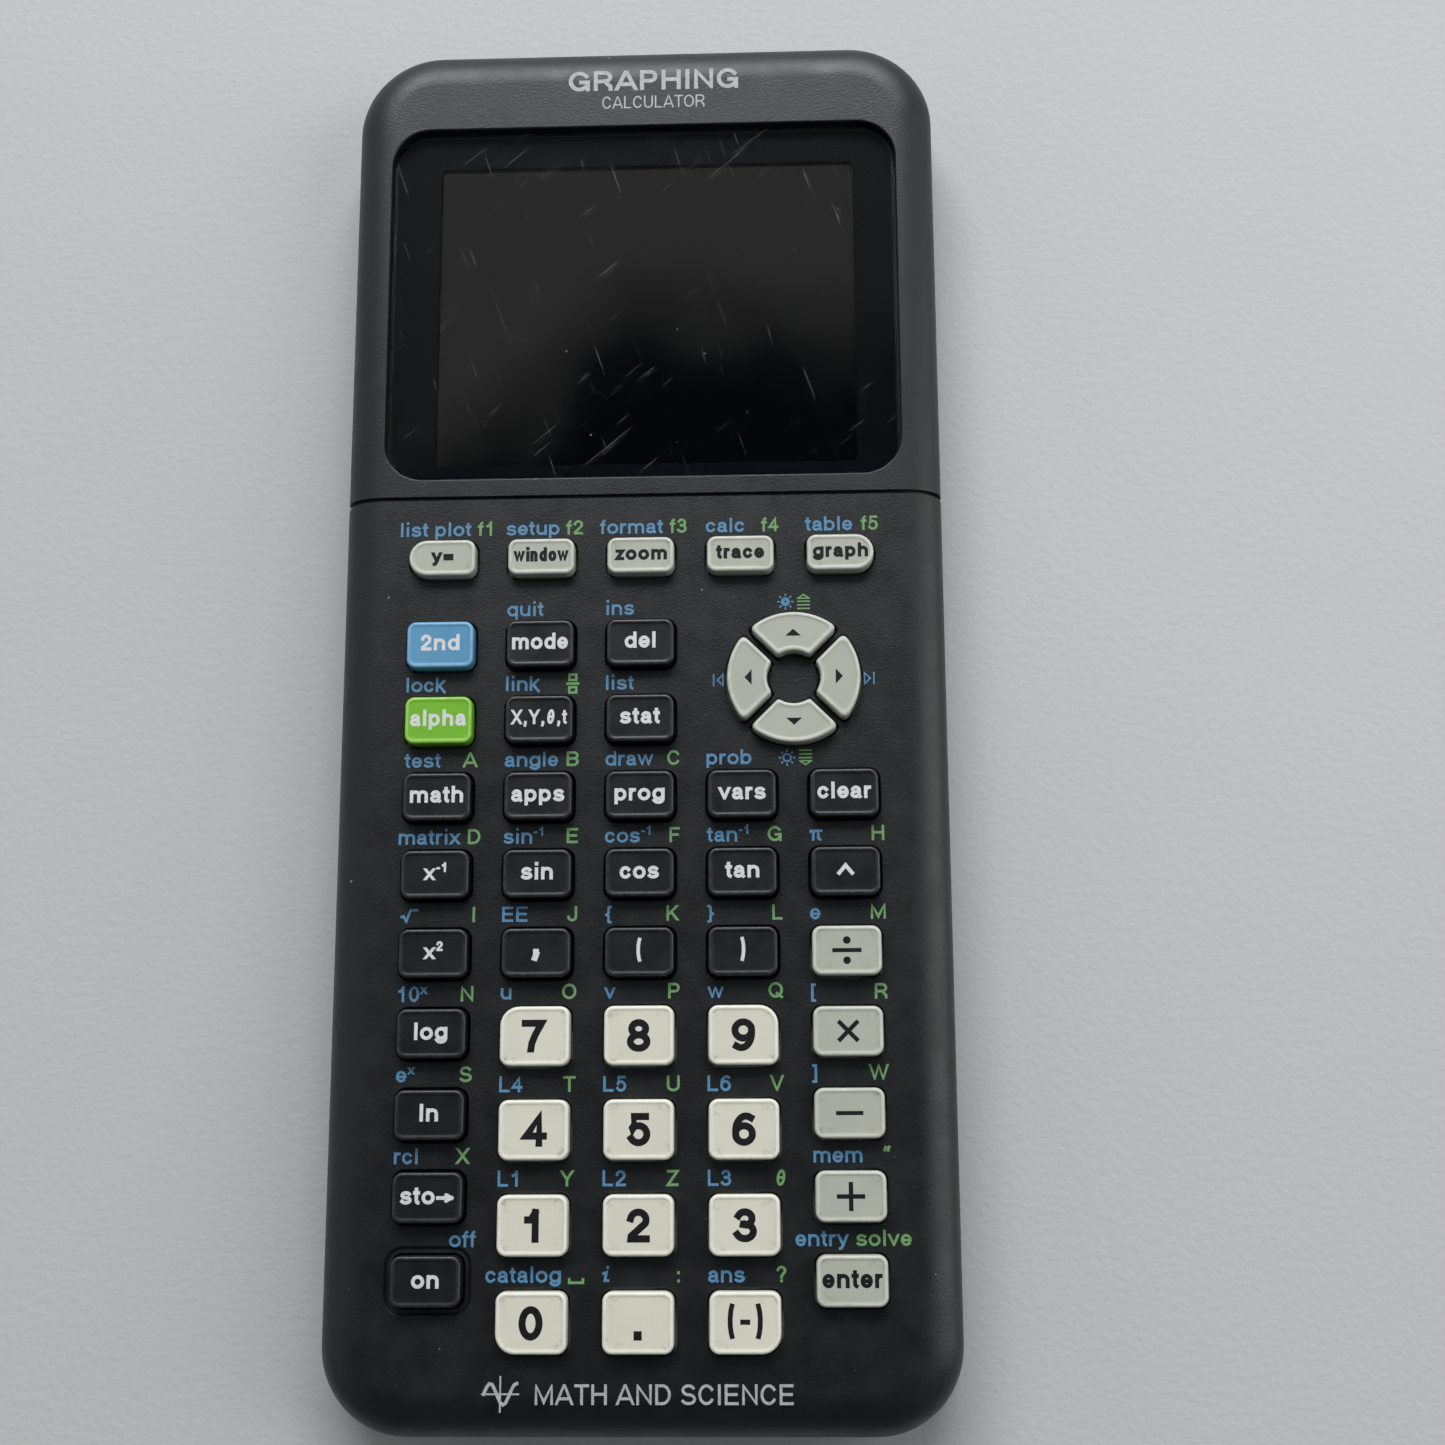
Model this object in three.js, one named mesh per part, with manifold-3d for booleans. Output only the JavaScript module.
// Graphing calculator: a front case with a recessed display window and fifty travelling keys,
// a rear case with a battery door, and the display, boards and socket that it holds inside.
// Millimetres. X is the width, +Y points to the display end, +Z out of the front face.
// The origin is the centre of the flat back that the calculator rests on.

import * as THREE from 'three';
import { mergeVertices } from 'three/addons/utils/BufferGeometryUtils.js';
import Module from 'manifold-3d';

const wasm = await Module();
wasm.setup();

// ---------------------------------------------------------------- driving dimensions

const LENGTH = 192;
const WIDTH = 82.6;
const TOP_CORNER_RADIUS = 12;
const BOTTOM_CORNER_RADIUS = 11.3;
const GAP = 0.3; // clearance between neighbouring pieces

// Heights above the back.
const PARTING_Z = 6.2; // where the two case halves meet
const FRONT_Z = 14; // flat front face
const KEY_TOP_Z = 15.7;

// Case shells.
const WALL = 1.8;
const FRONT_PLATE = 1.8;
const BACK_PLATE = 2.2;
const SHOULDER_INSET = 5.9; // the front falls away to the sides over this width
const SHOULDER_DROP = 4.2;
const BACK_EDGE_RADIUS = 3;
const RAIL_GROOVE_HEIGHT = 1.9; // groove for the slide cover, along both sides at the parting line
const RAIL_GROOVE_DEPTH = 0.7;
const RAIL_GROOVE_END = LENGTH / 2 - 15;
const SEAM_Y = 27.85; // groove across the front between display and keypad
const SEAM_WIDTH = 0.5;
const SEAM_DEPTH = 0.45;

// Display window, in a stepped opening.
const WINDOW_WIDTH = 71.7;
const WINDOW_BOTTOM_Y = 30.6;
const WINDOW_TOP_Y = 83;
const WINDOW_CORNER_RADIUS = 5.4;
const WINDOW_RECESS = 1;
const LENS_THICKNESS = 1.2;
const LEDGE_WIDTH = 2;
const LEDGE_THICKNESS = 1.2;

// Keys.
const COLUMN_PITCH = 13.55;
const GRAPH_ROW_Y = 18.87;
const FUNCTION_ROW_Y = 6.7; // first of the nine rows of function keys
const FUNCTION_ROW_PITCH = 10.4;
const NUMBER_ROW_Y = -45.7; // first of the four rows of number keys
const NUMBER_ROW_PITCH = 11.95;
const KEY_WIDTH = 9.05;
const FUNCTION_KEY_HEIGHT = 6.4;
const GRAPH_KEY_HEIGHT = 5;
const NUMBER_KEY_HEIGHT = 7.65;
const KEY_CORNER_RADIUS = 1.25;
const SWEPT_CORNER_RADIUS = 2.5; // outer corners of the first and last keys of a block
const KEY_EDGE = 0.35; // bevel round the top of a key
const KEY_TRAVEL = 1;
const FLANGE_OVERHANG = 0.75; // the flange that keeps a key inside the case
const FLANGE_THICKNESS = 1;
const ON_RECESS_MARGIN = 1; // the sunk margin round the on key
const ON_RECESS_DEPTH = 0.4;

// Arrow keys: four sectors of a ring.
const RING_X = 20.6;
const RING_Y = 1.65;
const RING_OUTER_RADIUS = 8.95;
const RING_INNER_RADIUS = 3.6;
const RING_GAP = 1.2; // between neighbouring arrow keys
const RING_OUTER_CORNER = 0.9;
const RING_INNER_CORNER = 0.4;
const ARROW_FLANGE_OVERHANG = 0.45;

// Inside.
const BOARD_THICKNESS = 1.6;
const BOARD_HALF_WIDTH = 37;
const BOARD_BOTTOM_Y = -88;
const BOARD_TOP_Y = 26;
const BOARD_ARM_LEFT = 27; // the arm that runs up beside the battery to the socket
const BOARD_ARM_TOP_Y = 80;
const BOARD_Z = 5.5;
const MAT_THICKNESS = 1;
const MAT_HALF_WIDTH = 35;
const MAT_BOTTOM_Y = -87;
const MAT_TOP_Y = 25.5;
const DOME_RADIUS = 1.6;
const DOME_BASE_RADIUS = 2.6;
const LCD_WIDTH = 68.4;
const LCD_HEIGHT = 50.4;
const LCD_THICKNESS = 2.6;
const BATTERY_WIDTH = 46;
const BATTERY_HEIGHT = 38;
const BATTERY_THICKNESS = 5.2;
const BATTERY_Y = 57;
const BAY_WIDTH = 48;
const BAY_HEIGHT = 41;
const DOOR_WIDTH = 54;
const DOOR_HEIGHT = 47;
const DOOR_THICKNESS = 1;
const DOOR_CORNER_RADIUS = 3;

// Socket in the right-hand side, sunk into the board.
const SOCKET_Y = 60;
const SOCKET_WIDTH = 7.7;
const SOCKET_HEIGHT = 3.9;
const SOCKET_DEPTH = 9;
const SOCKET_Z = 5.1; // centre height
const SOCKET_WALL = 0.45;
const SOCKET_CHAMFER = 1.1;
const SOCKET_BACK = 1;
const TONGUE_WIDTH = 3.7;
const TONGUE_HEIGHT = 1;
const TONGUE_SETBACK = 1.2;
const SOCKET_MOUTH_X = WIDTH / 2 - 0.6;

// Reset plunger in the back.
const RESET_X = -20;
const RESET_Y = 6;
const RESET_RADIUS = 1;
const RESET_FLANGE_RADIUS = 2;
const RESET_FLANGE_THICKNESS = 0.8;
const RESET_SETBACK = 0.5;
const RESET_TRAVEL = 0.6;

// Screw recesses in the back.
const SCREW_RECESS_RADIUS = 2.6;
const SCREW_RECESS_DEPTH = 1.2;
const SCREW_X = 33;
const SCREW_ROWS_Y = [-84, -2, 84];

// ---------------------------------------------------------------- key layout

const GRAPH_ROW = ['y_equals', 'window', 'zoom', 'trace', 'graph'];
const FUNCTION_ROWS = [
  ['2nd', 'mode', 'del', null, null],
  ['alpha', 'variable', 'stat', null, null],
  ['math', 'apps', 'prgm', 'vars', 'clear'],
  ['inverse', 'sin', 'cos', 'tan', 'power'],
  ['square', 'comma', 'open_bracket', 'close_bracket', 'divide'],
  ['log', null, null, null, 'multiply'],
  ['ln', null, null, null, 'minus'],
  ['store', null, null, null, 'plus'],
  ['on', null, null, null, 'enter'],
];
const NUMBER_ROWS = [
  ['7', '8', '9'],
  ['4', '5', '6'],
  ['1', '2', '3'],
  ['0', 'point', 'negative'],
];
const ARROWS = ['up', 'left', 'down', 'right']; // anticlockwise from the top

// Corners swept to the larger radius, for the keys that end a block.
const SWEPT_CORNERS = {
  y_equals: ['topLeft', 'bottomLeft'],
  graph: ['topRight', 'bottomRight'],
  7: ['topLeft'],
  9: ['topRight'],
  0: ['bottomLeft'],
  negative: ['bottomRight'],
};

// ---------------------------------------------------------------- materials

const BLACK_PLASTIC = { color: 0x1d2022, roughness: 0.55, metalness: 0 };
const BLACK_KEY = { color: 0x17191b, roughness: 0.5, metalness: 0 };
const WHITE_KEY = { color: 0xd9dbd2, roughness: 0.5, metalness: 0 };
const BLUE_KEY = { color: 0x5f98bd, roughness: 0.5, metalness: 0 };
const GREEN_KEY = { color: 0x6fae3c, roughness: 0.5, metalness: 0 };
const DARK_GLASS = { color: 0x07090c, roughness: 0.08, metalness: 0 };
const BOARD_GREEN = { color: 0x1f5a35, roughness: 0.6, metalness: 0 };
const GREY_RUBBER = { color: 0x8b8f90, roughness: 0.8, metalness: 0 };
const METAL = { color: 0xb9bcbf, roughness: 0.35, metalness: 1 };
const BATTERY_WRAP = { color: 0x2b3550, roughness: 0.6, metalness: 0 };

const WHITE_KEYS = new Set([
  ...GRAPH_ROW, ...NUMBER_ROWS.flat(), ...ARROWS, 'divide', 'multiply', 'minus', 'plus', 'enter',
]);

function keyFinish(name) {
  if (name === '2nd') return BLUE_KEY;
  if (name === 'alpha') return GREEN_KEY;
  return WHITE_KEYS.has(name) ? WHITE_KEY : BLACK_KEY;
}

// ---------------------------------------------------------------- shape helpers

// Rectangle with a radius for each corner; a corner left out of `swept` has the common radius.
function roundedRectangle(left, right, bottom, top, radius, swept = {}) {
  const corner = { topLeft: radius, topRight: radius, bottomRight: radius, bottomLeft: radius, ...swept };
  const quarter = Math.PI / 2;
  const shape = new THREE.Shape();
  shape.moveTo(left + corner.bottomLeft, bottom);
  shape.lineTo(right - corner.bottomRight, bottom);
  shape.absarc(right - corner.bottomRight, bottom + corner.bottomRight, corner.bottomRight, -quarter, 0);
  shape.lineTo(right, top - corner.topRight);
  shape.absarc(right - corner.topRight, top - corner.topRight, corner.topRight, 0, quarter);
  shape.lineTo(left + corner.topLeft, top);
  shape.absarc(left + corner.topLeft, top - corner.topLeft, corner.topLeft, quarter, 2 * quarter);
  shape.lineTo(left, bottom + corner.bottomLeft);
  shape.absarc(
    left + corner.bottomLeft, bottom + corner.bottomLeft, corner.bottomLeft, 2 * quarter, 3 * quarter,
  );
  return shape;
}

// The calculator's outline, drawn in by `inset` all round.
function caseOutline(inset) {
  const x = WIDTH / 2 - inset;
  const y = LENGTH / 2 - inset;
  const topRadius = TOP_CORNER_RADIUS - inset;
  const swept = { topLeft: topRadius, topRight: topRadius };
  return roundedRectangle(-x, x, -y, y, BOTTOM_CORNER_RADIUS - inset, swept);
}

function windowOutline(inset) {
  const x = WINDOW_WIDTH / 2 - inset;
  const bottom = WINDOW_BOTTOM_Y + inset;
  const top = WINDOW_TOP_Y - inset;
  return roundedRectangle(-x, x, bottom, top, Math.max(WINDOW_CORNER_RADIUS - inset, 1));
}

// A key's outline about its own centre, grown by `grow` all round.
function keyOutline(name, width, height, grow) {
  const swept = {};
  for (const corner of SWEPT_CORNERS[name] ?? []) {
    swept[corner] = SWEPT_CORNER_RADIUS + grow;
  }
  const x = width / 2 + grow;
  const y = height / 2 + grow;
  return roundedRectangle(-x, x, -y, y, KEY_CORNER_RADIUS + grow, swept);
}

// The outline of the upper arrow key about the ring's centre, grown by `grow` all round.
// Its straight edges run beside the diagonals, and quadratic curves round its four corners.
function arrowOutline(grow) {
  const outer = RING_OUTER_RADIUS + grow;
  const inner = RING_INNER_RADIUS - grow;
  const halfGap = RING_GAP / 2 - grow;
  const edgePoint = (along, side) => {
    const x = (along - halfGap) * Math.SQRT1_2;
    const y = (along + halfGap) * Math.SQRT1_2;
    return [side * x, y];
  };
  const outerAlong = Math.sqrt(outer ** 2 - halfGap ** 2);
  const innerAlong = Math.sqrt(inner ** 2 - halfGap ** 2);
  const outerStart = Math.PI / 4 + Math.asin(halfGap / outer) + RING_OUTER_CORNER / outer;
  const innerStart = Math.PI / 4 + Math.asin(halfGap / inner) + RING_INNER_CORNER / inner;
  const arcPoint = (radius, angle) => [radius * Math.cos(angle), radius * Math.sin(angle)];
  const shape = new THREE.Shape();
  shape.moveTo(...arcPoint(outer, outerStart));
  shape.absarc(0, 0, outer, outerStart, Math.PI - outerStart);
  shape.quadraticCurveTo(...edgePoint(outerAlong, -1), ...edgePoint(outerAlong - RING_OUTER_CORNER, -1));
  shape.lineTo(...edgePoint(innerAlong + RING_INNER_CORNER, -1));
  shape.quadraticCurveTo(...edgePoint(innerAlong, -1), ...arcPoint(inner, Math.PI - innerStart));
  shape.absarc(0, 0, inner, Math.PI - innerStart, innerStart, true);
  shape.quadraticCurveTo(...edgePoint(innerAlong, 1), ...edgePoint(innerAlong + RING_INNER_CORNER, 1));
  shape.lineTo(...edgePoint(outerAlong - RING_OUTER_CORNER, 1));
  shape.quadraticCurveTo(...edgePoint(outerAlong, 1), ...arcPoint(outer, outerStart));
  return shape;
}

// ---------------------------------------------------------------- solid helpers

function toSolid(geometry) {
  const bare = geometry.index ? geometry.toNonIndexed() : geometry.clone();
  bare.deleteAttribute('normal');
  bare.deleteAttribute('uv');
  const merged = mergeVertices(bare, 1e-5);
  return new wasm.Manifold(new wasm.Mesh({
    numProp: 3,
    vertProperties: new Float32Array(merged.attributes.position.array),
    triVerts: new Uint32Array(merged.index.array),
  }));
}

function toGeometry(solid) {
  const { vertProperties, triVerts } = solid.getMesh();
  const geometry = new THREE.BufferGeometry();
  geometry.setAttribute('position', new THREE.BufferAttribute(new Float32Array(vertProperties), 3));
  geometry.setIndex(new THREE.BufferAttribute(new Uint32Array(triVerts), 1));
  return geometry;
}

// A flat slab of the outline between two heights.
function slab(outline, bottom, top, curveSegments = 2) {
  const options = { depth: top - bottom, bevelEnabled: false, curveSegments };
  return toSolid(new THREE.ExtrudeGeometry(outline, options).translate(0, 0, bottom));
}

// A slab whose top and bottom edges are elliptical quarters, `inset` wide and `drop` high.
function roundedSlab(outline, bottom, top, inset, drop, bevelSegments, curveSegments) {
  const options = {
    depth: top - bottom - 2 * drop,
    bevelSize: inset,
    bevelOffset: -inset,
    bevelThickness: drop,
    bevelSegments,
    curveSegments,
  };
  return toSolid(new THREE.ExtrudeGeometry(outline, options).translate(0, 0, bottom + drop));
}

function block(left, right, front, back, bottom, top) {
  const geometry = new THREE.BoxGeometry(right - left, back - front, top - bottom);
  return toSolid(geometry.translate((left + right) / 2, (front + back) / 2, (bottom + top) / 2));
}

// A round bar, or a cone if the radii differ, standing at (x, y) between two heights.
function bar(x, y, bottom, top, bottomRadius, topRadius = bottomRadius, sides = 12) {
  const geometry = new THREE.CylinderGeometry(topRadius, bottomRadius, top - bottom, sides);
  return toSolid(geometry.rotateX(Math.PI / 2).translate(x, y, (bottom + top) / 2));
}

// Everything of a solid between two heights.
function between(solid, bottom, top) {
  return solid.intersect(block(-WIDTH, WIDTH, -LENGTH, LENGTH, bottom, top));
}

// ---------------------------------------------------------------- keys

const OVERRUN = 1; // how far a cutting solid runs past the face that it cuts

// One record per key: its name, where it sits, its turn about Z, and its outline at a given growth.
function listKeys() {
  const keys = [];
  const addRow = (row, firstColumn, y, height) => {
    row.forEach((name, index) => {
      if (name === null) return;
      const x = (firstColumn + index) * COLUMN_PITCH;
      const outline = (grow) => keyOutline(name, KEY_WIDTH, height, grow);
      keys.push({
        name, x, y, turn: 0, outline, centre: [x, y], overhang: FLANGE_OVERHANG, curveSegments: 1,
      });
    });
  };
  addRow(GRAPH_ROW, -2, GRAPH_ROW_Y, GRAPH_KEY_HEIGHT);
  FUNCTION_ROWS.forEach((row, index) => {
    addRow(row, -2, FUNCTION_ROW_Y - index * FUNCTION_ROW_PITCH, FUNCTION_KEY_HEIGHT);
  });
  NUMBER_ROWS.forEach((row, index) => {
    addRow(row, -1, NUMBER_ROW_Y - index * NUMBER_ROW_PITCH, NUMBER_KEY_HEIGHT);
  });
  ARROWS.forEach((name, index) => {
    const turn = (index * Math.PI) / 2;
    const middle = (RING_OUTER_RADIUS + RING_INNER_RADIUS) / 2;
    const centre = [RING_X - middle * Math.sin(turn), RING_Y + middle * Math.cos(turn)];
    keys.push({
      name, x: RING_X, y: RING_Y, turn, outline: arrowOutline, centre,
      overhang: ARROW_FLANGE_OVERHANG, curveSegments: 2,
    });
  });
  return keys;
}

const KEYS = listKeys();
const FLANGE_TOP_Z = FRONT_Z - FRONT_PLATE - GAP;
const FLANGE_BOTTOM_Z = FLANGE_TOP_Z - FLANGE_THICKNESS;

// A key: a bevelled cap on a flange, about the key's own origin.
function keySolid(key) {
  const cap = roundedSlab(
    key.outline(0), FLANGE_BOTTOM_Z + FLANGE_THICKNESS / 4, KEY_TOP_Z, KEY_EDGE, KEY_EDGE, 1,
    key.curveSegments,
  );
  const flange = slab(key.outline(key.overhang), FLANGE_BOTTOM_Z, FLANGE_TOP_Z, key.curveSegments);
  return cap.add(flange);
}

// What is cut from the case round a key, from a height up through the front face.
function keyCut(key, grow, bottom) {
  const options = {
    depth: FRONT_Z + OVERRUN - bottom, bevelEnabled: false, curveSegments: key.curveSegments,
  };
  const cut = new THREE.ExtrudeGeometry(key.outline(grow), options);
  cut.rotateZ(key.turn);
  return toSolid(cut.translate(key.x, key.y, bottom));
}

// ---------------------------------------------------------------- case

const LENS_TOP_Z = FRONT_Z - WINDOW_RECESS;
const LENS_BOTTOM_Z = LENS_TOP_Z - LENS_THICKNESS;
const LEDGE_TOP_Z = LENS_BOTTOM_Z - GAP;
const LEDGE_BOTTOM_Z = LEDGE_TOP_Z - LEDGE_THICKNESS;
const CASE_CURVE_SEGMENTS = 3;

// The groove that the slide cover's rails run in, cut into both halves along the two long sides.
function railGrooves() {
  const inner = WIDTH / 2 - RAIL_GROOVE_DEPTH;
  const bottom = PARTING_Z - RAIL_GROOVE_HEIGHT / 2;
  const top = PARTING_Z + RAIL_GROOVE_HEIGHT / 2;
  const right = block(inner, inner + WIDTH, -RAIL_GROOVE_END, RAIL_GROOVE_END, bottom, top);
  const left = block(-inner - WIDTH, -inner, -RAIL_GROOVE_END, RAIL_GROOVE_END, bottom, top);
  return right.add(left);
}

// The way through both halves' side wall for the socket.
function socketPassage() {
  const halfWidth = SOCKET_WIDTH / 2 + GAP;
  const halfHeight = SOCKET_HEIGHT / 2 + GAP;
  return block(
    WIDTH / 2 - 2 * WALL, WIDTH / 2 + OVERRUN,
    SOCKET_Y - halfWidth, SOCKET_Y + halfWidth,
    SOCKET_Z - halfHeight, SOCKET_Z + halfHeight,
  );
}

// The seam's groove, which follows the front face and runs down the shoulders.
function seamGroove() {
  const band = block(
    -WIDTH, WIDTH, SEAM_Y - SEAM_WIDTH / 2, SEAM_Y + SEAM_WIDTH / 2,
    PARTING_Z + RAIL_GROOVE_HEIGHT / 2 + WALL, FRONT_Z + OVERRUN,
  );
  const core = roundedSlab(
    caseOutline(SEAM_DEPTH), -FRONT_Z, FRONT_Z - SEAM_DEPTH, SHOULDER_INSET, SHOULDER_DROP, 4,
    CASE_CURVE_SEGMENTS,
  );
  return band.subtract(core);
}

function frontCase() {
  const outside = roundedSlab(
    caseOutline(0), -FRONT_Z, FRONT_Z, SHOULDER_INSET, SHOULDER_DROP, 4, CASE_CURVE_SEGMENTS,
  );
  const hollow = roundedSlab(
    caseOutline(WALL), -FRONT_Z, FRONT_Z - FRONT_PLATE,
    SHOULDER_INSET - WALL / 2, SHOULDER_DROP - WALL / 2, 3, CASE_CURVE_SEGMENTS,
  );
  const windowFrame = slab(windowOutline(-2), LEDGE_BOTTOM_Z, FRONT_Z - FRONT_PLATE / 2);
  let solid = between(outside, PARTING_Z + GAP / 2, FRONT_Z + OVERRUN).subtract(hollow).add(windowFrame);
  solid = solid.subtract(slab(windowOutline(0), LEDGE_TOP_Z, FRONT_Z + OVERRUN));
  solid = solid.subtract(slab(windowOutline(LEDGE_WIDTH), LEDGE_BOTTOM_Z - OVERRUN, FRONT_Z));
  for (const key of KEYS) {
    solid = solid.subtract(keyCut(key, GAP, FRONT_Z - FRONT_PLATE - OVERRUN));
  }
  const onKey = KEYS.find((key) => key.name === 'on');
  solid = solid.subtract(keyCut(onKey, ON_RECESS_MARGIN, FRONT_Z - ON_RECESS_DEPTH));
  return solid.subtract(seamGroove()).subtract(railGrooves()).subtract(socketPassage());
}

function rearCase() {
  const outside = roundedSlab(
    caseOutline(0), 0, FRONT_Z, BACK_EDGE_RADIUS, BACK_EDGE_RADIUS, 3, CASE_CURVE_SEGMENTS,
  );
  const hollow = slab(caseOutline(WALL), BACK_PLATE, FRONT_Z, CASE_CURVE_SEGMENTS);
  let solid = between(outside, 0, PARTING_Z - GAP / 2).subtract(hollow);
  solid = solid.subtract(batteryRectangle(DOOR_WIDTH, DOOR_HEIGHT, GAP, -OVERRUN, DOOR_THICKNESS + GAP));
  solid = solid.subtract(batteryRectangle(BAY_WIDTH, BAY_HEIGHT, 0, -OVERRUN, BACK_PLATE + OVERRUN));
  for (const y of SCREW_ROWS_Y) {
    solid = solid.subtract(bar(SCREW_X, y, -OVERRUN, SCREW_RECESS_DEPTH, SCREW_RECESS_RADIUS));
    solid = solid.subtract(bar(-SCREW_X, y, -OVERRUN, SCREW_RECESS_DEPTH, SCREW_RECESS_RADIUS));
  }
  solid = solid.subtract(bar(RESET_X, RESET_Y, -OVERRUN, BACK_PLATE + OVERRUN, RESET_RADIUS + GAP));
  return solid.subtract(railGrooves()).subtract(socketPassage());
}

// A rounded slab centred on the battery, for the bay, its door and the door's recess.
function batteryRectangle(width, height, grow, bottom, top) {
  const x = width / 2 + grow;
  const y = height / 2 + grow;
  const outline = roundedRectangle(-x, x, BATTERY_Y - y, BATTERY_Y + y, DOOR_CORNER_RADIUS + grow);
  return slab(outline, bottom, top);
}

function displayWindow() {
  return slab(windowOutline(GAP), LENS_BOTTOM_Z, LENS_TOP_Z, 4);
}

function batteryDoor() {
  return batteryRectangle(DOOR_WIDTH, DOOR_HEIGHT, 0, 0, DOOR_THICKNESS);
}

// ---------------------------------------------------------------- inside

const BOARD_TOP_Z = BOARD_Z + BOARD_THICKNESS;
const MAT_Z = BOARD_TOP_Z + GAP;
const DOME_TOP_Z = FLANGE_BOTTOM_Z - KEY_TRAVEL - GAP;

function lcdModule() {
  const y = (WINDOW_BOTTOM_Y + WINDOW_TOP_Y) / 2;
  const outline = roundedRectangle(
    -LCD_WIDTH / 2, LCD_WIDTH / 2, y - LCD_HEIGHT / 2, y + LCD_HEIGHT / 2, KEY_CORNER_RADIUS,
  );
  return slab(outline, LEDGE_BOTTOM_Z - GAP - LCD_THICKNESS, LEDGE_BOTTOM_Z - GAP, 1);
}

function mainBoard() {
  const keypadPart = block(
    -BOARD_HALF_WIDTH, BOARD_HALF_WIDTH, BOARD_BOTTOM_Y, BOARD_TOP_Y, BOARD_Z, BOARD_TOP_Z,
  );
  const arm = block(
    BOARD_ARM_LEFT, BOARD_HALF_WIDTH, BOARD_TOP_Y - OVERRUN, BOARD_ARM_TOP_Y, BOARD_Z, BOARD_TOP_Z,
  );
  const socketNotch = block(
    SOCKET_MOUTH_X - SOCKET_DEPTH - GAP, WIDTH,
    SOCKET_Y - SOCKET_WIDTH / 2 - GAP, SOCKET_Y + SOCKET_WIDTH / 2 + GAP,
    BOARD_Z - OVERRUN, BOARD_TOP_Z + OVERRUN,
  );
  return keypadPart.add(arm).subtract(socketNotch);
}

// A rubber sheet with a dome under each key. A dome stops short of the key's flange at full travel.
function keypadMat() {
  const outline = roundedRectangle(-MAT_HALF_WIDTH, MAT_HALF_WIDTH, MAT_BOTTOM_Y, MAT_TOP_Y, 4);
  let solid = slab(outline, MAT_Z, MAT_Z + MAT_THICKNESS, 1);
  for (const { centre: [x, y] } of KEYS) {
    solid = solid.add(bar(x, y, MAT_Z + MAT_THICKNESS / 2, DOME_TOP_Z, DOME_BASE_RADIUS, DOME_RADIUS, 6));
  }
  return solid;
}

function batteryPack() {
  const bottom = DOOR_THICKNESS + GAP;
  return batteryRectangle(BATTERY_WIDTH, BATTERY_HEIGHT, 0, bottom, bottom + BATTERY_THICKNESS);
}

// The socket's end-on outline: a rectangle whose lower corners are cut off.
function socketOutline(inset) {
  const x = SOCKET_WIDTH / 2 - inset;
  const y = SOCKET_HEIGHT / 2 - inset;
  const shape = new THREE.Shape();
  shape.moveTo(-x + SOCKET_CHAMFER, -y);
  shape.lineTo(x - SOCKET_CHAMFER, -y);
  shape.lineTo(x, -y + SOCKET_CHAMFER);
  shape.lineTo(x, y);
  shape.lineTo(-x, y);
  shape.lineTo(-x, -y + SOCKET_CHAMFER);
  return shape;
}

// A metal shell open to the side of the case, with a contact tongue inside.
// It is built mouth up and then turned so that the mouth faces +X.
function usbSocket() {
  const shell = slab(socketOutline(0), -SOCKET_DEPTH, 0);
  const mouth = slab(socketOutline(SOCKET_WALL), -SOCKET_DEPTH + SOCKET_BACK, OVERRUN);
  const tongue = block(
    -TONGUE_WIDTH / 2, TONGUE_WIDTH / 2, -TONGUE_HEIGHT / 2, TONGUE_HEIGHT / 2,
    -SOCKET_DEPTH + SOCKET_BACK / 2, -TONGUE_SETBACK,
  );
  const geometry = toGeometry(shell.subtract(mouth).add(tongue));
  return geometry.rotateX(Math.PI / 2).rotateZ(Math.PI / 2);
}

function resetButton() {
  const flangeBottom = BACK_PLATE + GAP;
  const plungerTop = BOARD_Z - RESET_TRAVEL - GAP;
  const plunger = bar(0, 0, RESET_SETBACK, plungerTop, RESET_RADIUS);
  const flange = bar(0, 0, flangeBottom, flangeBottom + RESET_FLANGE_THICKNESS, RESET_FLANGE_RADIUS);
  return plunger.add(flange);
}

// ---------------------------------------------------------------- assembly

const calculator = new THREE.Group();

function place(name, geometry, finish, x = 0, y = 0, z = 0, turn = 0) {
  const mesh = new THREE.Mesh(geometry, new THREE.MeshStandardMaterial(finish));
  mesh.name = name;
  mesh.position.set(x, y, z);
  mesh.rotation.z = turn;
  calculator.add(mesh);
}

place('front_case', toGeometry(frontCase()), BLACK_PLASTIC);
place('rear_case', toGeometry(rearCase()), BLACK_PLASTIC);
place('display_window', toGeometry(displayWindow()), DARK_GLASS);
place('lcd_module', toGeometry(lcdModule()), METAL);
place('main_board', toGeometry(mainBoard()), BOARD_GREEN);
place('keypad_mat', toGeometry(keypadMat()), GREY_RUBBER);
place('battery_pack', toGeometry(batteryPack()), BATTERY_WRAP);
place('battery_door', toGeometry(batteryDoor()), BLACK_PLASTIC);
place('usb_socket', usbSocket(), METAL, SOCKET_MOUTH_X, SOCKET_Y, SOCKET_Z);
place('reset_button', toGeometry(resetButton()), GREY_RUBBER, RESET_X, RESET_Y);
for (const key of KEYS) {
  place(`key_${key.name}`, toGeometry(keySolid(key)), keyFinish(key.name), key.x, key.y, 0, key.turn);
}

export default calculator;
